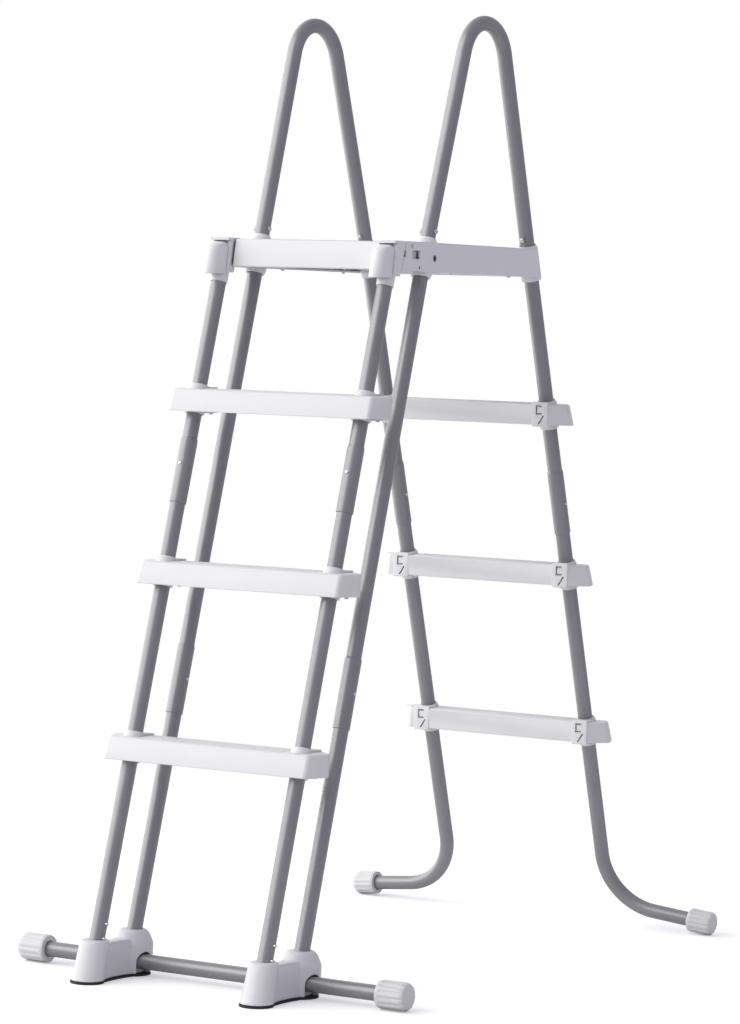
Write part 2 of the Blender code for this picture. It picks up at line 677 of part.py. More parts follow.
# Base: a cross tube, two sockets with rubber soles, and ribbed end caps
for side, word in ((-1, "left"), (1, "right")):
    x = side * SIDE_X
    rings = []
    for z, dy, radius in (
        (0.0038, -0.0050, 0.0286),
        (0.0230, -0.0045, 0.0276),
        (0.0480, -0.0040, 0.0260),
        (0.0640, -0.0040, 0.0248),
        (0.0695, -0.0040, 0.0240),
        (0.0708, -0.0040, 0.0230),
    ):
        rings.append(circle((x, lift_y(z) + dy, z), (0, 0, 1), radius, 20))
    foot = loft(f"base_foot_{word}", rings, WHITE)
    rings = []
    for z, y, radius in (
        (0.0038, -0.4810, 0.0350),
        (0.0300, -0.4790, 0.0368),
        (0.0530, -0.4780, 0.0368),
        (0.0580, -0.4775, 0.0352),
        (0.0710, -0.4760, 0.0290),
        (0.0765, -0.4755, 0.0226),
    ):
        rings.append(circle((x, y, z), (0, 0, 1), radius, 20))
    add(foot, loft(f"foot_drum_{word}", rings))
    waist = []
    for z, grow in ((0.0038, 0.0), (0.0560, 0.0), (0.0615, -0.0030)):
        y0 = lift_y(z) - 0.002
        y1 = -0.4800
        plan = []
        for i in range(9):
            t = i / 8
            half = 0.0170 + 0.0085 * (2 * t - 1) ** 2 + (0.0045 * t if z < 0.06 else 0.0) + grow
            plan.append((half, y0 + (y1 - y0) * t))
        ring = [Vector((x + w, y, z)) for w, y in plan]
        waist.append(ring + [Vector((x - w, y, z)) for w, y in reversed(plan)])
    add(foot, loft(f"foot_waist_{word}", waist))
    start = Vector((side * LIFT_X, lift_y(0.0165), 0.0165))
    cut(foot, rod(f"foot_socket_front_{word}", start, start + FRONT_AXIS * 0.10, TUBE_R + GAP, None, SEG))
    start = Vector((x, front_y(0.0468), 0.0468))
    cut(foot, rod(f"foot_socket_rear_{word}", start, start + FRONT_AXIS * 0.10, TUBE_R + GAP, None, SEG))
    cut(foot, rod(f"foot_channel_{word}", (x - 0.06, BASE_Y, BASE_Z), (x + 0.06, BASE_Y, BASE_Z), TUBE_R + GAP, None, SEG))
    for way in (-1, 1):
        arch = [(-0.0160, 0.0), (0.0160, 0.0), (0.0160, 0.026)]
        for i in range(1, 8):
            angle = math.pi * i / 8
            arch.append((0.0160 * math.cos(angle), 0.026 + 0.0160 * math.sin(angle)))
        arch.append((-0.0160, 0.026))
        ends = sorted((x + way * 0.0210, x + way * 0.0600))
        profile = [(BASE_Y + 0.001 + dy, z) for dy, z in arch]
        cut(foot, flat_plate(f"foot_arch_{word}_{'in' if way < 0 else 'out'}", profile, ends[0], ends[1]))
    notch_y = lift_y(0.0735)
    notch_x = side * LIFT_X
    cut(foot, box(f"foot_notch_{word}", (notch_x + 0.0100, notch_y - 0.0046, 0.0690), (notch_x + 0.0300, notch_y + 0.0046, 0.0800)))
    cut(foot, box(f"foot_notch_top_{word}", (notch_x + 0.0100, notch_y - 0.0046, 0.0740), (notch_x + 0.0300, notch_y + 0.0200, 0.0900)))

    y = lift_y(0.0038) - 0.0050
    sole = loft(
        f"foot_sole_{word}",
        [circle((x, y, z), (0, 0, 1), 0.0294, 24) for z in (0.0, SOLE_T)],
        BLACK,
    )
    add(sole, loft(f"sole_drum_{word}", [circle((x, -0.4810, z), (0, 0, 1), 0.0358, 24) for z in (0.0, SOLE_T)]))
    plan = []
    for i in range(9):
        t = i / 8
        plan.append((0.0178 + 0.0085 * (2 * t - 1) ** 2 + 0.0045 * t, y + (-0.4810 - y) * t))
    ring = plan + [(-w, py) for w, py in reversed(plan)]
    add(sole, loft(f"sole_waist_{word}", [[Vector((x + w, py, z)) for w, py in ring] for z in (0.0, SOLE_T)]))


tube("base_tube", [(-BASE_HALF, BASE_Y, BASE_Z), (BASE_HALF, BASE_Y, BASE_Z)], [TUBE_R] * 2, [BORE_R] * 2, GREY)


def end_cap(name, mouth, tip, radius):
    """A fluted cap from its mouth to its rounded tip, bored for the tube's end."""
    mouth = Vector(mouth)
    tip = Vector(tip)
    axis = (tip - mouth).normalized()
    length = (tip - mouth).length
    side = (Vector((0, 0, 1)) - axis * axis.z).normalized()
    other = axis.cross(side)
    flutes = 14
    count = flutes * 3
    rings = []
    for along, scale, depth in (
        (0.0, 0.960, 0.0),
        (0.0055, 1.000, 0.0),
        (0.0070, 1.000, 0.0016),
        (length - 0.0100, 1.000, 0.0016),
        (length - 0.0040, 0.960, 0.0006),
        (length, 0.860, 0.0),
    ):
        ring = []
        for i in range(count):
            angle = 2 * math.pi * (i - 1) / count
            r = radius * scale - (depth if i % 3 == 0 else 0.0)
            ring.append(mouth + axis * along + r * (math.cos(angle) * side + math.sin(angle) * other))
        rings.append(ring)
    cap = loft(name, rings, WHITE)
    end = mouth + axis * (length - 0.0060)
    cut(cap, rod(name + "_bore", mouth - axis * 0.01, end, TUBE_R + GAP, None, SEG))
    return cap


for side, word in ((-1, "left"), (1, "right")):
    end_cap(f"base_cap_{word}", (side * 0.343, BASE_Y, BASE_Z), (side * 0.397, BASE_Y, BASE_Z), 0.0245)
    end_cap(f"rear_cap_{word}", j_straight(side, J_CAP[0]), j_straight(side, J_CAP[1]), J_CAP_R)


# Release clips: two buttons on one leaf, inside the foot of each outer tube
RELEASE_Z = (0.0735, 0.0980)
for side, word in ((-1, "left"), (1, "right")):
    x = side * LIFT_X
    strip = []
    for z in (RELEASE_Z[0] - 0.006, RELEASE_Z[1] + 0.006):
        y = lift_y(z)
        strip.append([Vector((x + a, y + b, z)) for a, b in ((0.0060, -0.0042), (0.0076, -0.0042), (0.0076, 0.0042), (0.0060, 0.0042))])
    clip = loft(f"release_clip_{word}", strip, STEEL)
    leg = bpy.data.objects[f"lift_leg_lower_{word}"]
    for i, z in enumerate(RELEASE_Z):
        y = lift_y(z)
        rings = [circle((x + a, y, z), (1, 0, 0), r, 12) for a, r in ((0.0065, 0.0034), (0.0160, 0.0034), (0.0170, 0.0024))]
        add(clip, loft(f"release_button_{word}_{i}", rings))
        drill(leg, f"release_hole_{word}_{i}", (x, y, z), (1, 0, 0), 0.0038, 0.020)
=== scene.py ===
import json
import math

import bmesh
import bpy
from mathutils import Matrix, Vector


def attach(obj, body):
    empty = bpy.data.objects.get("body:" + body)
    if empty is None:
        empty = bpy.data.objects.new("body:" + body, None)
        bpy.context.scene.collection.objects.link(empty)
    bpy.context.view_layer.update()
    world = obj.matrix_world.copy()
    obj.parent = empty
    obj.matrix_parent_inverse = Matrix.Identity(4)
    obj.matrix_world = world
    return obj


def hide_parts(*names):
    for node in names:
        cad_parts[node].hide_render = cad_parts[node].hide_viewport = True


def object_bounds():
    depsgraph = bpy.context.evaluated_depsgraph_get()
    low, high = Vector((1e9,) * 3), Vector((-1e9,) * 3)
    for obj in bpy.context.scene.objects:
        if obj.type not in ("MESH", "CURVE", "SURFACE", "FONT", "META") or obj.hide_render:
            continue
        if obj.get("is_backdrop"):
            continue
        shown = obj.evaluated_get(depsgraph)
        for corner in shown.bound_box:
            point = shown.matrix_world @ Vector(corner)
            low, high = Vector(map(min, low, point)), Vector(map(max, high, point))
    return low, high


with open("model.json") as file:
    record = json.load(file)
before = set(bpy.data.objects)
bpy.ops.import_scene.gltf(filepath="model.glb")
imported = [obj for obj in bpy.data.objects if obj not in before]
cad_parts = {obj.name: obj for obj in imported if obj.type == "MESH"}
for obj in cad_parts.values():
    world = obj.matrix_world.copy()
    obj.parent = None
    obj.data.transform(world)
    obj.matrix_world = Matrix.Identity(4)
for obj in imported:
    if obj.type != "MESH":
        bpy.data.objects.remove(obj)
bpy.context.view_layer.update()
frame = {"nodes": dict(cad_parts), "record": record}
NODES = frame["nodes"]
BODY_OF = {node: body for body, nodes in frame["record"]["behaviour"]["bodies"].items() for node in nodes}

# Sizes shared with the CAD
TUBE_R = 0.0135
BORE_R = 0.0121
SLEEVE_R = 0.0150
GAP = 0.0003
SIDE_X = 0.1735
LIFT_X = 0.1725
FRONT_LEAN = 0.277
REAR_LEAN = 0.3163
RAIL_SPLAY = 0.014
RAIL_ROOT_Z = 1.2650
RAIL_BOLT_Z = 1.3020
RAIL_FRONT_LEAN = 0.2914
RAIL_REAR_LEAN = 0.332
BASE_Y = -0.488
BASE_Z = 0.025
SNUG_R = TUBE_R + GAP
LIFT_TREADS = (0.415, 0.715, 1.015)
REAR_TREADS = (0.400, 0.700, 1.000)


def front_y(z):
    return -0.1687 - FRONT_LEAN * (1.170 - z)


def lift_y(z):
    return front_y(z) - 0.111


def rear_y(z):
    return 0.2537 + REAR_LEAN * (1.170 - z)


FRONT_AXIS = Vector((0, FRONT_LEAN, 1)).normalized()
REAR_AXIS = Vector((0, -REAR_LEAN, 1)).normalized()


# ---------------------------------------------------------------- materials
def shader_material(name):
    material = bpy.data.materials.new(name)
    material.use_nodes = True
    tree = material.node_tree
    return material, tree, tree.nodes["Principled BSDF"]


def noise(tree, place, scale, detail=2.0, stretch=None):
    node = tree.nodes.new("ShaderNodeTexNoise")
    node.inputs["Scale"].default_value = scale
    node.inputs["Detail"].default_value = detail
    if stretch:
        mapping = tree.nodes.new("ShaderNodeMapping")
        mapping.inputs["Scale"].default_value = stretch
        tree.links.new(place, mapping.inputs["Vector"])
        place = mapping.outputs["Vector"]
    tree.links.new(place, node.inputs["Vector"])
    return node.outputs["Fac"]


def spread(tree, value, low, high):
    node = tree.nodes.new("ShaderNodeMapRange")
    node.inputs["From Min"].default_value = 0.25
    node.inputs["From Max"].default_value = 0.75
    node.inputs["To Min"].default_value = low
    node.inputs["To Max"].default_value = high
    tree.links.new(value, node.inputs["Value"])
    return node.outputs["Result"]


def tint(tree, factor, low, high):
    node = tree.nodes.new("ShaderNodeMix")
    node.data_type = "RGBA"
    node.inputs[6].default_value = (*low, 1)
    node.inputs[7].default_value = (*high, 1)
    tree.links.new(factor, node.inputs["Factor"])
    return node.outputs[2]


def bump(tree, height, strength, distance, onto=None):
    node = tree.nodes.new("ShaderNodeBump")
    node.inputs["Strength"].default_value = strength
    node.inputs["Distance"].default_value = distance
    tree.links.new(height, node.inputs["Height"])
    if onto is not None:
        tree.links.new(onto, node.inputs["Normal"])
    return node.outputs["Normal"]


def round_edges(tree, radius):
    node = tree.nodes.new("ShaderNodeBevel")
    node.samples = 4
    node.inputs["Radius"].default_value = radius
    return node.outputs["Normal"]


def painted_crevice_shade(tree, base, crevice_shade_colour, reach):
    """Paints shade into holes, slots and the seams between pieces, mixing the base colour towards a dark
    colour where ambient occlusion finds nearby surfaces.
    """
    hidden = tree.nodes.new("ShaderNodeAmbientOcclusion")
    hidden.samples = 4
    hidden.inputs["Distance"].default_value = reach
    ramp = tree.nodes.new("ShaderNodeMapRange")
    ramp.inputs["From Min"].default_value = 0.10
    ramp.inputs["From Max"].default_value = 0.62
    tree.links.new(hidden.outputs["AO"], ramp.inputs["Value"])
    mix = tree.nodes.new("ShaderNodeMix")
    mix.data_type = "RGBA"
    mix.inputs[6].default_value = (*crevice_shade_colour, 1)
    tree.links.new(ramp.outputs["Result"], mix.inputs["Factor"])
    tree.links.new(base, mix.inputs[7])
    return mix.outputs[2]


def place_of(tree):
    return tree.nodes.new("ShaderNodeTexCoord").outputs["Object"]


def grey_coat():
    """Satin grey powder coat over steel tube: orange peel, fine flake and slow changes in gloss."""
    material, tree, shader = shader_material("grey_powder_coat")
    place = place_of(tree)
    slow = noise(tree, place, 9.0, 3.0)
    flake = noise(tree, place, 1500.0, 1.0)
    peel = noise(tree, place, 420.0, 2.0)
    body = tint(tree, spread(tree, slow, 0.0, 1.0), (0.250, 0.250, 0.260), (0.280, 0.280, 0.288))
    fleck = tint(tree, spread(tree, flake, 0.0, 1.0), (0.93, 0.93, 0.93), (1.06, 1.06, 1.06))
    blend = tree.nodes.new("ShaderNodeMix")
    blend.data_type = "RGBA"
    blend.blend_type = "MULTIPLY"
    blend.inputs["Factor"].default_value = 1.0
    tree.links.new(body, blend.inputs[6])
    tree.links.new(fleck, blend.inputs[7])
    tree.links.new(blend.outputs[2], shader.inputs["Base Color"])
    tree.links.new(spread(tree, slow, 0.36, 0.44), shader.inputs["Roughness"])
    tree.links.new(bump(tree, peel, 0.10, 0.0004), shader.inputs["Normal"])
    shader.inputs["Metallic"].default_value = 0.50
    shader.inputs["Coat Weight"].default_value = 0.20
    shader.inputs["Coat Roughness"].default_value = 0.20
    return material


def white_plastic(name, low, high, edge, grain=0.05, crevice_shade_colour=(0.10, 0.10, 0.11)):
    """Moulded polypropylene: fine spark-eroded grain, faint flow clouding, softened edges, and painted shade
    in its holes and seams.
    """
    material, tree, shader = shader_material(name)
    place = place_of(tree)
    cloud = noise(tree, place, 7.0, 4.0)
    flow = noise(tree, place, 28.0, 2.0, (0.25, 1.0, 1.0))
    fine = noise(tree, place, 1100.0, 2.0)
    base = tint(tree, spread(tree, cloud, 0.0, 1.0), low, high)
    # painted shade: holes, slots and seams are darkened in the base colour by ambient occlusion
    tree.links.new(painted_crevice_shade(tree, base, crevice_shade_colour, 0.009), shader.inputs["Base Color"])
    tree.links.new(spread(tree, flow, 0.34, 0.44), shader.inputs["Roughness"])
    edges = round_edges(tree, edge)
    tree.links.new(bump(tree, fine, grain, 0.0003, edges), shader.inputs["Normal"])
    shader.inputs["Specular IOR Level"].default_value = 0.45
    return material


def black_rubber():
    material, tree, shader = shader_material("black_rubber")
    place = place_of(tree)
    wear = noise(tree, place, 40.0, 4.0)
    fine = noise(tree, place, 900.0, 2.0)
    worn = tint(tree, spread(tree, wear, 0.0, 1.0), (0.012, 0.012, 0.012), (0.030, 0.030, 0.031))
    tree.links.new(worn, shader.inputs["Base Color"])
    tree.links.new(spread(tree, wear, 0.62, 0.82), shader.inputs["Roughness"])
    tree.links.new(bump(tree, fine, 0.3, 0.0004), shader.inputs["Normal"])
    return material


def turned_steel(name, low, high):
    material, tree, shader = shader_material(name)
    place = place_of(tree)
    wear = noise(tree, place, 160.0, 3.0)
    turned = noise(tree, place, 1400.0, 2.0)
    tree.links.new(tint(tree, spread(tree, wear, 0.0, 1.0), low, high), shader.inputs["Base Color"])
    tree.links.new(spread(tree, wear, 0.22, 0.36), shader.inputs["Roughness"])
    tree.links.new(bump(tree, turned, 0.06, 0.0002), shader.inputs["Normal"])
    shader.inputs["Metallic"].default_value = 1.0
    return material


COAT = grey_coat()
WHITE = white_plastic("white_moulding", (0.735, 0.735, 0.742), (0.775, 0.775, 0.780), 0.0012)
SOFT_WHITE = white_plastic("white_moulding_round", (0.735, 0.735, 0.742), (0.775, 0.775, 0.780), 0.0030)
# the treads get a lighter painted crevice shade than the other mouldings
TREAD_WHITE = white_plastic(
    "tread_moulding", (0.680, 0.680, 0.684), (0.720, 0.720, 0.722), 0.0012, crevice_shade_colour=(0.36, 0.36, 0.37)
)
FOOT_WHITE = white_plastic("foot_moulding", (0.650, 0.648, 0.662), (0.700, 0.698, 0.710), 0.0012)
CAP_WHITE = white_plastic("cap_moulding", (0.610, 0.605, 0.612), (0.670, 0.665, 0.670), 0.0008, 0.10)
RUBBER = black_rubber()
STEEL = turned_steel("plated_steel", (0.56, 0.56, 0.57), (0.70, 0.70, 0.70))
# hub screws are coloured near black as painted shade, standing for the dark recess round them
HOLE_SHADE_STEEL = turned_steel("steel_painted_as_hole_shade", (0.030, 0.030, 0.032), (0.055, 0.055, 0.056))


def material_for(node):
    if "sole" in node:
        return RUBBER
    # painted shade: the hub screws are near black so they read as dark holes
    if "hub_screw" in node:
        return HOLE_SHADE_STEEL
    if any(word in node for word in ("screw", "bolt", "button", "clip")):
        return STEEL
    if any(word in node for word in ("leg", "handrail", "base_tube")):
        return COAT
    if node.startswith("base_foot"):
        return FOOT_WHITE
    if "cap_" in node and "hook" not in node:
        return CAP_WHITE
    if "tread" in node:
        return TREAD_WHITE
    if "plate" in node:
        return SOFT_WHITE
    return WHITE


# ---------------------------------------------------------------- finish of carried-over CAD nodes
def smoothing_group(angle):
    """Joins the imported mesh's split corners and shades it smooth up to an angle."""
    group = bpy.data.node_groups.new(f"smooth_to_{math.degrees(angle):.0f}", "GeometryNodeTree")
    group.interface.new_socket("Geometry", in_out="INPUT", socket_type="NodeSocketGeometry")
    group.interface.new_socket("Geometry", in_out="OUTPUT", socket_type="NodeSocketGeometry")
    start = group.nodes.new("NodeGroupInput")
    end = group.nodes.new("NodeGroupOutput")
    plain = group.nodes.new("GeometryNodeRemoveAttribute")
    plain.inputs["Name"].default_value = "custom_normal"
    join = group.nodes.new("GeometryNodeMergeByDistance")
    join.inputs["Distance"].default_value = 0.00001
    faces = group.nodes.new("GeometryNodeSetShadeSmooth")
    faces.domain = "FACE"
    faces.inputs["Shade Smooth"].default_value = True
    edges = group.nodes.new("GeometryNodeSetShadeSmooth")
    edges.domain = "EDGE"
    bend = group.nodes.new("GeometryNodeInputMeshEdgeAngle")
    test = group.nodes.new("FunctionNodeCompare")
    test.operation = "LESS_EQUAL"
    test.inputs["B"].default_value = angle
    link = group.links.new
    link(start.outputs[0], plain.inputs["Geometry"])
    link(plain.outputs["Geometry"], join.inputs["Geometry"])
    link(join.outputs["Geometry"], faces.inputs["Geometry"])
    link(faces.outputs["Geometry"], edges.inputs["Geometry"])
    link(bend.outputs["Unsigned Angle"], test.inputs["A"])
    link(test.outputs["Result"], edges.inputs["Shade Smooth"])
    link(edges.outputs["Geometry"], end.inputs[0])
    return group


SMOOTHING = smoothing_group(math.radians(50))
CRISP = smoothing_group(math.radians(24))

for name, obj in NODES.items():
    obj.data.materials.clear()
    obj.data.materials.append(material_for(name))
    crisp = any(word in name for word in ("base_cap", "rear_cap"))
    obj.modifiers.new("joined", "NODES").node_group = CRISP if crisp else SMOOTHING
    weighted = obj.modifiers.new("normals", "WEIGHTED_NORMAL")
    weighted.keep_sharp = True
    weighted.weight = 80


# ---------------------------------------------------------------- new pieces
def new_piece(name, verts, faces, node, material=None, angle=38):
    mesh = bpy.data.meshes.new(name)
    mesh.from_pydata([tuple(v) for v in verts], [], faces)
    work = bmesh.new()
    work.from_mesh(mesh)
    bmesh.ops.recalc_face_normals(work, faces=work.faces)
    work.to_mesh(mesh)
    work.free()
    mesh.shade_smooth()
    mesh.set_sharp_from_angle(angle=math.radians(angle))
    obj = bpy.data.objects.new(name, mesh)
    bpy.context.scene.collection.objects.link(obj)
    if node is not None:
        mesh.materials.append(material or material_for(node))
        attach(obj, BODY_OF[node])
        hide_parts(node)
    return obj


def fine_tube(name, node, path, outer, inner, count=44):
    """An open-ended tube along a path, with a wall, mitred where it turns."""
    points = [Vector(p) for p in path]
    last = len(points) - 1
    verts = []
    base = None
    carried = None
    for i, point in enumerate(points):
        before = (point - points[i - 1]).normalized() if i else None
        after = (points[i + 1] - point).normalized() if i < last else None
        direction = before or after
        heading = (before + after).normalized() if before and after else direction
        if base is None:
            guess = Vector((1, 0, 0)) if abs(direction.x) < 0.9 else Vector((0, 1, 0))
            base = (guess - direction * guess.dot(direction)).normalized()
            carried = direction
        base = carried.rotation_difference(direction) @ base
        carried = direction
        other = direction.cross(base)
        for radius in (outer[i], inner[i]):
            for k in range(count):
                angle = 2 * math.pi * k / count
                spoke = radius * (math.cos(angle) * base + math.sin(angle) * other)
                verts.append(point + spoke - direction * (spoke.dot(heading) / direction.dot(heading)))
    faces = []
    for level in range(last):
        a = level * 2 * count
        b = a + 2 * count
        for k in range(count):
            n = (k + 1) % count
            faces.append((a + k, a + n, b + n, b + k))
            faces.append((a + count + n, a + count + k, b + count + k, b + count + n))
    for k in range(count):
        n = (k + 1) % count
        faces.append((k, count + k, count + n, n))
        top = last * 2 * count
        faces.append((top + k, top + n, top + count + n, top + count + k))
    return new_piece(name, verts, faces, node)


def rail_point(side, z, rear):
    rise = z - RAIL_ROOT_Z
    x = side * (SIDE_X + RAIL_SPLAY * rise)
    if rear:
        return Vector((x, rear_y(RAIL_ROOT_Z) - RAIL_REAR_LEAN * rise, z))
    return Vector((x, front_y(RAIL_ROOT_Z) + RAIL_FRONT_LEAN * rise, z))


def rail_path(side, steps=40):
    low, top = 1.2870, 1.6770
    start_f, start_r = rail_point(side, low, False), rail_point(side, low, True)
    angle_f, angle_r = math.atan(RAIL_FRONT_LEAN), math.atan(RAIL_REAR_LEAN)
    lean = math.tan(angle_f) + math.tan(angle_r)
    secants = 1 / math.cos(angle_f) + 1 / math.cos(angle_r)
    radius = (start_r.y - start_f.y - lean * (top - low)) / (secants - lean)
    center_z = top - radius
    center_y = start_f.y + RAIL_FRONT_LEAN * (center_z - low) + radius / math.cos(angle_f)
    points = [start_f, start_f.lerp(rail_point(side, center_z, False), 0.5)]
    for i in range(steps + 1):
        angle = (math.pi - angle_f) + (angle_r - math.pi + angle_f) * i / steps
        z = center_z + radius * math.sin(angle)
        x = side * (SIDE_X + RAIL_SPLAY * (z - RAIL_ROOT_Z))
        points.append(Vector((x, center_y + radius * math.cos(angle), z)))
    points.append(start_r)
    return points


def sleeve_stations(low, high):
    """Outer and inner radii up a swaged sleeve: a rolled rim, the barrel, and the shoulder."""
    found = [(low, SLEEVE_R - 0.0006, SNUG_R + 0.0002), (low + 0.0007, SLEEVE_R, SNUG_R)]
    found.append((low + 0.010, SLEEVE_R, SNUG_R))
    found.append((high - 0.0070, SLEEVE_R, SNUG_R))
    for i in range(1, 8):
        t = i / 8
        blend = 0.5 - 0.5 * math.cos(math.pi * t)
        z = high - 0.0062 + 0.0062 * t
        found.append((z, SLEEVE_R + (TUBE_R - SLEEVE_R) * blend, SNUG_R + (BORE_R - TUBE_R - GAP) * blend))
    found.append((high, TUBE_R, BORE_R))
    return found


def upper_leg(node, x, axis_y, sleeve, top, rear=None):
    stations = sleeve_stations(*sleeve) + [(top, TUBE_R, BORE_R)]
    path = [Vector((x, axis_y(z), z)) for z, _, _ in stations]
    outer = [s[1] for s in stations]
    inner = [s[2] for s in stations]
    if rear is not None:
        for z in (1.2830, 1.3250):
            path.append(rail_point(1 if x > 0 else -1, z, rear))
            outer.append(BORE_R - GAP)
            inner.append(BORE_R - GAP - 0.0014)
    return fine_tube("fine_" + node, node, path, outer, inner)


def plain_tube(node, path):
    return fine_tube("fine_" + node, node, path, [TUBE_R] * len(path), [BORE_R] * len(path))


J_RADIUS, J_TURN, J_START = 0.110, math.radians(84), 0.1449


def rear_plane(x, along):
    z = along / math.sqrt(1 + REAR_LEAN * REAR_LEAN)
    return Vector((x, rear_y(z), z))


def j_path(side, steps=32):
    points = [rear_plane(side * SIDE_X, 0.868 * math.sqrt(1 + REAR_LEAN * REAR_LEAN))]
    for i in range(steps + 1):
        angle = J_TURN * i / steps
        x = SIDE_X + J_RADIUS * (1 - math.cos(angle))
        points.append(rear_plane(side * x, J_START - J_RADIUS * math.sin(angle)))
    corner = SIDE_X + J_RADIUS * (1 - math.cos(J_TURN))
    along = J_START - J_RADIUS * math.sin(J_TURN) - (0.387 - corner) / math.tan(J_TURN)
    points.append(rear_plane(side * 0.387, along))
    return points


for side, word in ((-1, "left"), (1, "right")):
    plain_tube(f"handrail_{word}", rail_path(side))
    upper_leg(f"front_leg_upper_{word}", side * SIDE_X, front_y, (0.445, 0.567), 1.2790, False)
    upper_leg(f"rear_leg_upper_{word}", side * SIDE_X, rear_y, (0.759, 0.878), 1.2790, True)
    upper_leg(f"lift_leg_upper_{word}", side * LIFT_X, lift_y, (0.815, 0.930), 1.2580)
    for node, x, axis_y, low, high in (
        (f"front_leg_lower_{word}", SIDE_X, front_y, 0.0475, 0.557),
        (f"lift_leg_lower_{word}", LIFT_X, lift_y, 0.0170, 0.920),
    ):
        plain_tube(node, [Vector((side * x, axis_y(z), z)) for z in (low, (low + high) / 2, high)])
    plain_tube(f"rear_leg_lower_{word}", j_path(side))
plain_tube("base_tube", [(-0.385, BASE_Y, BASE_Z), (0.0, BASE_Y, BASE_Z), (0.385, BASE_Y, BASE_Z)])


# ---------------------------------------------------------------- turned and moulded details
def frame_across(axis, hint=Vector((0, 0, 1))):
    axis = Vector(axis).normalized()
    if abs(axis.dot(hint)) > 0.95:
        hint = Vector((0, 1, 0))
    side = (hint - axis * hint.dot(axis)).normalized()
    return axis, side, axis.cross(side)


def skinned(name, node, rings, material=None, angle=38):
    """A closed skin through rings of equal length, with a face over each end."""
    count = len(rings[0])
    verts = [p for ring in rings for p in ring]
    faces = [tuple(range(count)), tuple(range(len(verts) - count, len(verts)))]
    for level in range(len(rings) - 1):
        a, b = level * count, (level + 1) * count
        for k in range(count):
            n = (k + 1) % count
            faces.append((a + k, a + n, b + n, b + k))
    return new_piece(name, verts, faces, node, material, angle)


def turned(name, node, spot, axis, profile, count=32):
    axis, side, other = frame_across(axis)
    rings = []
    for along, radius in profile:
        ring = []
        for k in range(count):
            angle = 2 * math.pi * k / count
            ring.append(spot + axis * along + radius * (math.cos(angle) * side + math.sin(angle) * other))
        rings.append(ring)
    return skinned(name, node, rings, angle=30)


def domed(start, height, radius, steps=6):
    """A profile from the edge of a dome to its top."""
    found = []
    for i in range(steps + 1):
        angle = math.pi / 2 * i / steps
        found.append((start + height * math.sin(angle), max(radius * math.cos(angle), 0.0002)))
    return found


def rail_bolt(node, spot, axis):
    r = TUBE_R
    head = domed(r + 0.0006, 0.0032, 0.0050)
    profile = [
        (-(r + 0.0052), 0.0020), (-(r + 0.0048), 0.0025), (-(r + 0.0036), 0.0026), (-(r + 0.0036), 0.0040),
        (-(r + 0.0032), 0.0044), (-(r + 0.0006), 0.0044), (-(r + 0.0006), 0.0025), (r + 0.0006, 0.0025),
    ]
    turned("fine_" + node, node, spot, axis, profile + head)


def leg_stud(node, spot, axis):
    head = domed(SLEEVE_R + 0.0004, 0.0014, 0.0033)
    turned("fine_" + node, node, spot, axis, [(0.0060, 0.0046), (0.0095, 0.0046), (0.0095, 0.0033)] + head)


def fluted_cap(node, mouth, tip, radius):
    """End cap with round-bottomed flutes, a plain collar at the mouth and a domed end."""
    mouth, tip = Vector(mouth), Vector(tip)
    axis, side, other = frame_across(tip - mouth)
    length = (tip - mouth).length
    flutes, each = 14, 8
    stations = [
        (length - 0.0062, BORE_R * 0.3, 0.0), (length - 0.0060, SNUG_R, 0.0), (0.0006, SNUG_R, 0.0),
        (0.0, SNUG_R + 0.0006, 0.0), (0.0, radius * 0.955, 0.0), (0.0006, radius * 0.968, 0.0),
        (0.0050, radius * 0.998, 0.0), (0.0060, radius, 0.0), (0.0072, radius, 0.0009),
        (0.0084, radius, 0.0017), (length - 0.0110, radius, 0.0017),
    ]
    for i in range(1, 8):
        angle = math.pi / 2 * i / 7
        along = length - 0.0110 + 0.0110 * math.sin(angle)
        stations.append((along, radius * (0.80 + 0.20 * math.cos(angle)), 0.0017 * math.cos(angle) ** 0.5))
    rings = []
    for along, r, depth in stations:
        ring = []
        for k in range(flutes * each):
            angle = 2 * math.pi * (k / each - 1 / 3) / flutes
            groove = (0.5 + 0.5 * math.cos(2 * math.pi * k / each)) ** 2
            reach = r - depth * groove
            ring.append(mouth + axis * along + reach * (math.cos(angle) * side + math.sin(angle) * other))
        rings.append(ring)
    skinned("fine_" + node, node, rings, angle=42)


def ring_at(x, y, z, radius, count=40):
    turns = (2 * math.pi * i / count for i in range(count))
    return [Vector((x + radius * math.cos(a), y + radius * math.sin(a), z)) for a in turns]


def raw_loft(rings):
    count = len(rings[0])
    verts = [p for ring in rings for p in ring]
    faces = [tuple(range(count)), tuple(range(len(verts) - count, len(verts)))]
    for level in range(len(rings) - 1):
        a, b = level * count, (level + 1) * count
        for k in range(count):
            n = (k + 1) % count
            faces.append((a + k, a + n, b + n, b + k))
    mesh = bpy.data.meshes.new("raw")
    mesh.from_pydata([tuple(v) for v in verts], [], faces)
    work = bmesh.new()
    work.from_mesh(mesh)
    bmesh.ops.recalc_face_normals(work, faces=work.faces)
    work.to_mesh(mesh)
    work.free()
    return mesh


def applied(obj):
    """The object's mesh with its modifiers made real."""
    graph = bpy.context.evaluated_depsgraph_get()
    mesh = bpy.data.meshes.new_from_object(obj.evaluated_get(graph))
    obj.modifiers.clear()
    obj.data = mesh


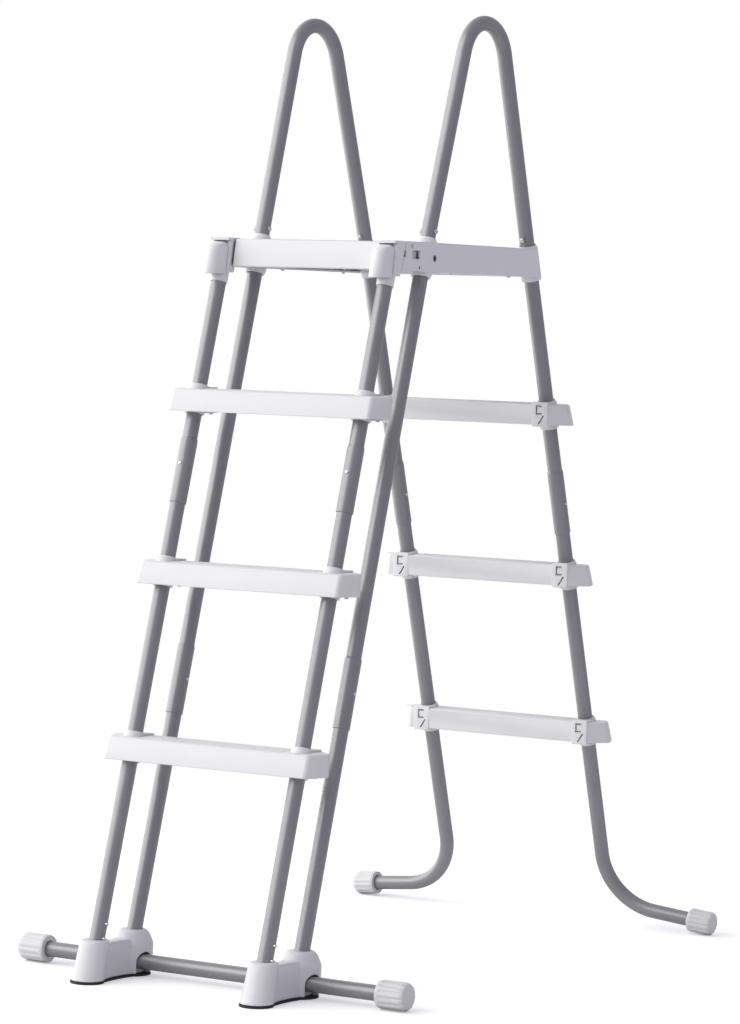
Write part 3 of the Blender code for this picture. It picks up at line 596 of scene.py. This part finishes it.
def blended(name, node, solids, cutters, voxel=0.0011, passes=9):
    """One moulding from overlapping solids: melted together, smoothed, then bored."""
    work = bmesh.new()
    for mesh in solids:
        work.from_mesh(mesh)
    mesh = bpy.data.meshes.new(name)
    work.to_mesh(mesh)
    work.free()
    obj = bpy.data.objects.new(name, mesh)
    bpy.context.scene.collection.objects.link(obj)
    melt = obj.modifiers.new("melt", "REMESH")
    melt.mode = "VOXEL"
    melt.voxel_size = voxel
    soft = obj.modifiers.new("soft", "SMOOTH")
    soft.factor = 0.5
    soft.iterations = passes
    applied(obj)
    tools = []
    for i, mesh in enumerate(cutters):
        tool = bpy.data.objects.new(f"{name}_tool_{i}", mesh)
        bpy.context.scene.collection.objects.link(tool)
        tools.append(tool)
        bore = obj.modifiers.new(f"bore_{i}", "BOOLEAN")
        bore.operation = "DIFFERENCE"
        bore.solver = "EXACT"
        bore.object = tool
    applied(obj)
    for tool in tools:
        bpy.data.objects.remove(tool)
    obj.data.materials.clear()
    obj.data.materials.append(material_for(node))
    obj.data.shade_smooth()
    obj.data.set_sharp_from_angle(angle=math.radians(40))
    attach(obj, BODY_OF[node])
    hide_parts(node)
    return obj


def bar(start, end, radius, count=44):
    start, end = Vector(start), Vector(end)
    return raw_loft([circle_across(point, end - start, radius, count) for point in (start, end)])


def base_foot(side, word):
    x = side * SIDE_X
    cone = []
    for z, radius in (
        (0.0042, 0.0288), (0.0060, 0.0292), (0.0120, 0.0283), (0.0240, 0.0272), (0.0360, 0.0265),
        (0.0480, 0.0260), (0.0600, 0.0256), (0.0680, 0.0252), (0.0706, 0.0242), (0.0716, 0.0222),
    ):
        cone.append(ring_at(x, lift_y(z) - 0.0044, z, radius))
    drum = []
    for z, y, radius in (
        (0.0042, -0.4810, 0.0352), (0.0060, -0.4808, 0.0356), (0.0300, -0.4790, 0.0372),
        (0.0520, -0.4780, 0.0374), (0.0560, -0.4778, 0.0366), (0.0700, -0.4762, 0.0298),
        (0.0738, -0.4758, 0.0268), (0.0772, -0.4755, 0.0226),
    ):
        drum.append(ring_at(x, y, z, radius))
    waist = []
    for z, grow in (
        (0.0042, 0.0008), (0.0060, 0.0014), (0.0240, 0.0002),
        (0.0520, -0.0012), (0.0600, -0.0022), (0.0640, -0.0060),
    ):
        y0 = lift_y(z) - 0.004
        y1 = -0.4795
        plan = []
        for i in range(17):
            t = i / 16
            half = 0.0150 + 0.0112 * (2 * t - 1) ** 2 + (0.0050 * t * t) + grow
            plan.append((half, y0 + (y1 - y0) * t))
        ring = [Vector((x + w, y, z)) for w, y in plan]
        waist.append(ring + [Vector((x - w, y, z)) for w, y in reversed(plan)])
    start = Vector((side * LIFT_X, lift_y(0.0165), 0.0165))
    cutters = [bar(start, start + FRONT_AXIS * 0.10, SNUG_R)]
    start = Vector((x, front_y(0.0468), 0.0468))
    cutters.append(bar(start, start + FRONT_AXIS * 0.10, SNUG_R))
    cutters.append(bar((x - 0.06, BASE_Y, BASE_Z), (x + 0.06, BASE_Y, BASE_Z), SNUG_R))
    for way in (-1, 1):
        profile = [(-0.0160, -0.01), (0.0160, -0.01)]
        for i in range(15):
            angle = math.pi * i / 14
            profile.append((0.0160 * math.cos(angle), 0.026 + 0.0160 * math.sin(angle)))
        ends = (x + way * 0.0215, x + way * 0.0600)
        cutters.append(raw_loft([[Vector((px, -0.487 + dy, z)) for dy, z in profile] for px in ends]))
    blended(f"fine_base_foot_{word}", f"base_foot_{word}", [raw_loft(r) for r in (cone, drum, waist)], cutters)


# ---------------------------------------------------------------- treads
def rounded(points, radius, steps=5):
    """A convex outline with its corners turned into arcs."""
    found = []
    count = len(points)
    for i, corner in enumerate(points):
        corner = Vector(corner)
        back, ahead = Vector(points[i - 1]) - corner, Vector(points[(i + 1) % count]) - corner
        half = back.angle(ahead) / 2
        reach = min(radius / math.tan(half), back.length * 0.45, ahead.length * 0.45)
        bend = reach * math.tan(half)
        middle = corner + (back.normalized() + ahead.normalized()).normalized() * (bend / math.sin(half))
        first, last = corner + back.normalized() * reach - middle, corner + ahead.normalized() * reach - middle
        for k in range(steps + 1):
            spoke = first.lerp(last, k / steps).normalized() * bend
            found.append(tuple(middle + spoke))
    return found


def carved(name, mesh, steps):
    """A mesh after a list of unions and differences."""
    obj = bpy.data.objects.new(name, mesh)
    bpy.context.scene.collection.objects.link(obj)
    tools = []
    for i, (operation, shape) in enumerate(steps):
        tool = bpy.data.objects.new(f"{name}_tool_{i}", shape)
        bpy.context.scene.collection.objects.link(tool)
        tools.append(tool)
        step = obj.modifiers.new(f"step_{i}", "BOOLEAN")
        step.operation = operation
        step.solver = "MANIFOLD"
        step.object = tool
    applied(obj)
    for tool in tools:
        bpy.data.objects.remove(tool)
    shape = obj.data
    bpy.data.objects.remove(obj)
    return shape


def settle(name, mesh, node, angle=35):
    """Puts a finished mesh in the scene in the place of its CAD node."""
    mesh.materials.clear()
    mesh.materials.append(material_for(node))
    mesh.shade_smooth()
    mesh.set_sharp_from_angle(angle=math.radians(angle))
    obj = bpy.data.objects.new(name, mesh)
    bpy.context.scene.collection.objects.link(obj)
    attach(obj, BODY_OF[node])
    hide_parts(node)
    return obj


def block(low, high):
    (x0, y0, z0), (x1, y1, z1) = low, high
    corners = ((x0, y0), (x1, y0), (x1, y1), (x0, y1))
    return raw_loft([[Vector((x, y, z)) for x, y in corners] for z in (z0, z1)])


TREAD_H = 0.039
# The three-sided slot round a snap tab: low x, low z, high x, high z, from the pad's middle and foot
TAB_SLOTS = (
    (-0.0080, 0.020, -0.0050, 0.035),
    (-0.0080, 0.019, 0.0045, 0.022),
    (-0.0080, 0.033, 0.0045, 0.036),
)
TREAD_TOP_PLAN = ((0.205, 0.031), (0.2235, -0.010), (0.193, -0.036))
TREAD_LOW_PLAN = ((0.207, 0.034), (0.2265, -0.012), (0.196, -0.047))


def tread_ring(top, axis_y, toward, z, inset, radius):
    t = (z - top + TREAD_H) / TREAD_H
    half = []
    for (xl, dl), (xt, dt), sign in zip(TREAD_LOW_PLAN, TREAD_TOP_PLAN, (-1, 0, 1)):
        share = 1.0 if sign == 0 else 0.6
        half.append((xl + (xt - xl) * t - inset * share, dl + (dt - dl) * t + sign * inset))
    outline = half + [(-px, d) for px, d in reversed(half)]
    return [Vector((px, axis_y(z) + toward * d, z)) for px, d in rounded(outline, radius)]


def tread_mesh(name, top, axis_y, leg_x, toward, axis):
    low = top - TREAD_H
    fillet = 0.0042
    levels = [(low, 0.0008), (low + 0.0008, 0.0002), (low + 0.0016, 0.0), (top - fillet, 0.0)]
    for i in range(1, 6):
        angle = math.pi / 2 * i / 5
        levels.append((top - fillet + fillet * math.sin(angle), fillet * (1 - math.cos(angle))))
    body = raw_loft([tread_ring(top, axis_y, toward, z, inset, 0.0085) for z, inset in levels])
    hollow = [tread_ring(top, axis_y, toward, z, 0.0028, 0.006) for z in (low - 0.001, top - 0.0030)]
    steps = [("DIFFERENCE", raw_loft(hollow))]
    for x in (-0.084, 0.0, 0.084):
        rings = []
        for z in (low + 0.010, top - 0.002):
            ys = (axis_y(z) - toward * 0.0345, axis_y(z) + toward * 0.0295)
            rings.append([Vector((x + a * 0.0011, ys[b], z)) for a, b in ((-1, 0), (1, 0), (1, 1), (-1, 1))])
        steps.append(("UNION", raw_loft(rings)))
    for d in (0.016, 0.0, -0.016):
        y = axis_y(top) + toward * d
        rings = []
        for rise, inset in ((-0.001, 0.0), (0.0004, 0.0), (0.0009, 0.0004), (0.0010, 0.0009)):
            z = top + rise
            a, b = 0.148 - inset, 0.002 - inset
            flat = rounded([(a, b), (-a, b), (-a, -b), (a, -b)], b * 0.9, 4)
            rings.append([Vector((px, y + py, z)) for px, py in flat])
        steps.append(("UNION", raw_loft(rings)))
    back = -toward
    for side in (-1, 1):
        x = side * leg_x
        shift = 0.0060 if toward > 0 else 0.0
        rings = []
        for z, radius in (
            (low - 0.0050, 0.0166), (low - 0.0046, 0.0172), (low + 0.0012, 0.0186), (low + 0.0020, 0.0190),
            (top + 0.0005, 0.0190), (top + 0.0050, 0.0170), (top + 0.0060, 0.0164), (top + 0.0063, 0.0156),
        ):
            rings.append(circle_across((x, axis_y(z), z), axis, radius))
        steps.append(("UNION", raw_loft(rings)))
        y = axis_y(low + 0.018)
        pad_y = y + back * 0.0425
        rings = []
        for depth, inset in ((0.012, 0.0), (0.0415, 0.0), (0.0422, 0.0003), (0.0425, 0.0010)):
            x0, x1 = x + shift - 0.0165 + inset, x + shift + 0.0165 - inset
            z0, z1 = low - 0.0035 + inset, top + 0.0030 - inset
            face = rounded([(x0, z0), (x1, z0), (x1, z1), (x0, z1)], 0.0022, 4)
            rings.append([Vector((px, y + back * depth, pz)) for px, pz in face])
        steps.append(("UNION", raw_loft(rings)))
        near, far = sorted((pad_y + back * 0.002, pad_y - back * 0.0035))
        middle = x + shift
        for x0, z0, x1, z1 in TAB_SLOTS:
            slot = block((middle + x0, near, low + z0), (middle + x1, far, low + z1))
            steps.append(("DIFFERENCE", slot))
        slash = ((-0.0036, 0.001), (-0.0002, 0.001), (0.0098, 0.017), (0.0064, 0.017))
        cut = [[Vector((x + shift + px, yy, low + pz)) for px, pz in slash] for yy in (near, far)]
        steps.append(("DIFFERENCE", raw_loft(cut)))
        spot = Vector((x + 0.0185, axis_y(low) - toward * 0.024, low))
        steps.append(("UNION", bar(spot + Vector((0, 0, 0.006)), spot - Vector((0, 0, 0.0055)), 0.0036, 24)))
        start = Vector((x, axis_y(low - 0.03), low - 0.03))
        steps.append(("DIFFERENCE", bar(start, start + axis * 0.12, SNUG_R)))
    return carved(name, body, steps)


def circle_across(center, axis, radius, count=44):
    axis, side, other = frame_across(axis)
    turns = (2 * math.pi * i / count for i in range(count))
    return [Vector(center) + radius * (math.cos(a) * side + math.sin(a) * other) for a in turns]


def flight(prefix, tops, axis_y, leg_x, toward, axis):
    """One tread moulding, set at each height of a flight."""
    mould = tread_mesh("mould_" + prefix, tops[0], axis_y, leg_x, toward, axis)
    for i, top in enumerate(tops):
        copy = mould.copy()
        copy.transform(Matrix.Translation((0, axis_y(top) - axis_y(tops[0]), top - tops[0])))
        settle(f"fine_{prefix}_{i + 1}", copy, f"{prefix}_{i + 1}")


flight("lift_tread", LIFT_TREADS, lift_y, LIFT_X, -1, FRONT_AXIS)
flight("rear_tread", REAR_TREADS, rear_y, SIDE_X, 1, REAR_AXIS)


def j_straight(side, x):
    corner = SIDE_X + J_RADIUS * (1 - math.cos(J_TURN))
    return rear_plane(side * x, J_START - J_RADIUS * math.sin(J_TURN) - (x - corner) / math.tan(J_TURN))


for side, word in ((-1, "left"), (1, "right")):
    rail_bolt(f"rail_bolt_front_{word}", rail_point(side, RAIL_BOLT_Z, False), (1, 0, 0))
    rail_bolt(f"rail_bolt_rear_{word}", rail_point(side, RAIL_BOLT_Z, True), (0, 1, RAIL_REAR_LEAN))
    leg_stud(f"front_leg_button_{word}", Vector((side * SIDE_X, front_y(0.506), 0.506)), (1, 0, 0))
    leg_stud(f"rear_leg_button_{word}", Vector((side * SIDE_X, rear_y(0.8146), 0.8146)), (1, 0, 0))
    across = Vector((0, -1, 0))
    across = across - FRONT_AXIS * across.dot(FRONT_AXIS)
    leg_stud(f"lift_leg_button_{word}", Vector((side * LIFT_X, lift_y(0.8815), 0.8815)), across)
    fluted_cap(f"base_cap_{word}", (side * 0.343, BASE_Y, BASE_Z), (side * 0.397, BASE_Y, BASE_Z), 0.0245)
    base_foot(side, word)
    fluted_cap(f"rear_cap_{word}", j_straight(side, 0.350), j_straight(side, 0.397), 0.02235)


# ---------------------------------------------------------------- stage, light and camera
FLOOR_R = 3.2
FOCAL_PIXELS = 3990.6
FRAME_HEIGHT = 1024.0
SENSOR_MM = 36.0


def stage_floor():
    mesh = bpy.data.meshes.new("floor")
    turns = [2 * math.pi * i / 64 for i in range(64)]
    rim = [(FLOOR_R * math.cos(a), FLOOR_R * math.sin(a), -0.0004) for a in turns]
    mesh.from_pydata(rim, [], [tuple(range(64))])
    floor = bpy.data.objects.new("floor", mesh)
    bpy.context.scene.collection.objects.link(floor)
    material = bpy.data.materials.new("floor")
    material.use_nodes = True
    tree = material.node_tree
    tree.nodes.clear()
    out = tree.nodes.new("ShaderNodeOutputMaterial")
    pale = tree.nodes.new("ShaderNodeBsdfDiffuse")
    pale.inputs["Color"].default_value = (0.80, 0.80, 0.80, 1)
    glow = tree.nodes.new("ShaderNodeEmission")
    rays = tree.nodes.new("ShaderNodeLightPath")
    lift = tree.nodes.new("ShaderNodeMath")
    lift.operation = "MULTIPLY"
    lift.inputs[1].default_value = 0.34
    tree.links.new(rays.outputs["Is Camera Ray"], lift.inputs[0])
    tree.links.new(lift.outputs[0], glow.inputs["Strength"])
    both = tree.nodes.new("ShaderNodeAddShader")
    clear = tree.nodes.new("ShaderNodeBsdfTransparent")
    fade = tree.nodes.new("ShaderNodeMixShader")
    coords = tree.nodes.new("ShaderNodeTexCoord")
    length = tree.nodes.new("ShaderNodeVectorMath")
    length.operation = "LENGTH"
    ramp = tree.nodes.new("ShaderNodeMapRange")
    ramp.interpolation_type = "SMOOTHSTEP"
    ramp.inputs["From Min"].default_value = 1.0
    ramp.inputs["From Max"].default_value = 3.0
    tree.links.new(coords.outputs["Object"], length.inputs[0])
    tree.links.new(length.outputs["Value"], ramp.inputs["Value"])
    tree.links.new(ramp.outputs["Result"], fade.inputs["Fac"])
    tree.links.new(pale.outputs[0], both.inputs[0])
    tree.links.new(glow.outputs[0], both.inputs[1])
    tree.links.new(both.outputs[0], fade.inputs[1])
    tree.links.new(clear.outputs[0], fade.inputs[2])
    tree.links.new(fade.outputs[0], out.inputs["Surface"])
    mesh.materials.append(material)
    floor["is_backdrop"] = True


def sky():
    world = bpy.data.worlds.new("studio")
    bpy.context.scene.world = world
    world.use_nodes = True
    tree = world.node_tree
    tree.nodes.clear()
    out = tree.nodes.new("ShaderNodeOutputWorld")
    seen = tree.nodes.new("ShaderNodeBackground")
    seen.inputs["Color"].default_value = (1, 1, 1, 1)
    fill = tree.nodes.new("ShaderNodeBackground")
    coords = tree.nodes.new("ShaderNodeTexCoord")
    split = tree.nodes.new("ShaderNodeSeparateXYZ")
    ramp = tree.nodes.new("ShaderNodeMapRange")
    ramp.interpolation_type = "SMOOTHSTEP"
    ramp.inputs["From Min"].default_value = -1.0
    ramp.inputs["From Max"].default_value = -0.10
    tree.links.new(coords.outputs["Generated"], split.inputs[0])
    tree.links.new(split.outputs["X"], ramp.inputs["Value"])
    shade = tint(tree, ramp.outputs["Result"], (1.45, 1.43, 1.40), (0.520, 0.512, 0.590))
    tree.links.new(shade, fill.inputs["Color"])
    rays = tree.nodes.new("ShaderNodeLightPath")
    mix = tree.nodes.new("ShaderNodeMixShader")
    tree.links.new(rays.outputs["Is Camera Ray"], mix.inputs["Fac"])
    tree.links.new(fill.outputs[0], mix.inputs[1])
    tree.links.new(seen.outputs[0], mix.inputs[2])
    tree.links.new(mix.outputs[0], out.inputs["Surface"])


def sun(name, toward, strength, spread_deg, color=(1, 1, 1)):
    light = bpy.data.lights.new(name, "SUN")
    light.energy = strength
    light.angle = math.radians(spread_deg)
    light.color = color
    lamp = bpy.data.objects.new(name, light)
    bpy.context.scene.collection.objects.link(lamp)
    lamp.rotation_mode = "QUATERNION"
    lamp.rotation_quaternion = Vector(toward).to_track_quat("Z", "Y")


stage_floor()
sky()
sun("softbox_left", (-0.42, -0.68, 0.60), 1.34, 50, (1.0, 0.99, 0.96))
sun("softbox_side", (-0.97, -0.12, 0.20), 1.0, 60)

camera = bpy.data.objects.new("camera", bpy.data.cameras.new("camera"))
bpy.context.scene.collection.objects.link(camera)
camera.data.sensor_width = SENSOR_MM
camera.data.lens = SENSOR_MM * FOCAL_PIXELS / FRAME_HEIGHT
right = Vector((0.8477669, 0.52949454, 0.03044361))
up = Vector((-0.05169105, 0.02536166, 0.99834103))
back = Vector((0.52784403, -0.84793415, 0.04887091))
turn = Matrix((right, up, back)).transposed().to_4x4()
camera.matrix_world = Matrix.Translation((3.79393, -6.11325, 1.15033)) @ turn
camera.data.clip_start, camera.data.clip_end = 0.1, 60.0
bpy.context.scene.camera = camera
bpy.context.scene.view_settings.view_transform = "Standard"

low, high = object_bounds()
